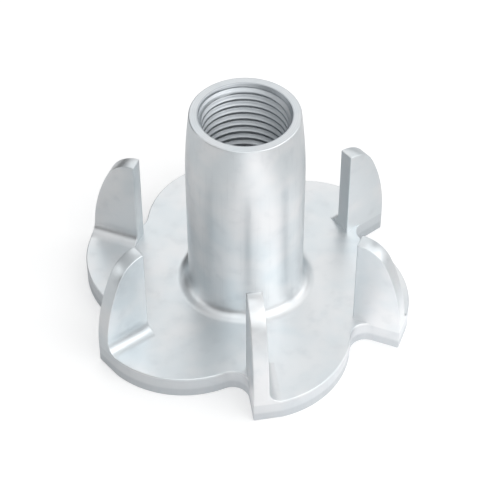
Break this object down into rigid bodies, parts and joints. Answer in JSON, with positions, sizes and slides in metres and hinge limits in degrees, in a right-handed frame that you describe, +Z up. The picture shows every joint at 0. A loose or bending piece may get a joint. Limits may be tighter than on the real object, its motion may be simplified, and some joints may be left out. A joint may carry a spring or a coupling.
{
  "type": "tee nut",
  "caption": "Pronged tee nut: a threaded barrel on a lobed sheet-metal flange with curved prongs bent up around it.",
  "frame": {"origin": "centre of the flange's flat underside, on the barrel's axis", "axes": "+Z up the barrel's axis towards its rim, -Y towards the notch face of one prong, +X to the right"},
  "size_m": [0.0298, 0.031, 0.0218],
  "materials": {
    "tee_nut": "bright zinc plated, cool grey, satin"
  },
  "bodies": {
    "root": {"tee_nut": "tee_nut"}
  },
  "joints": []
}
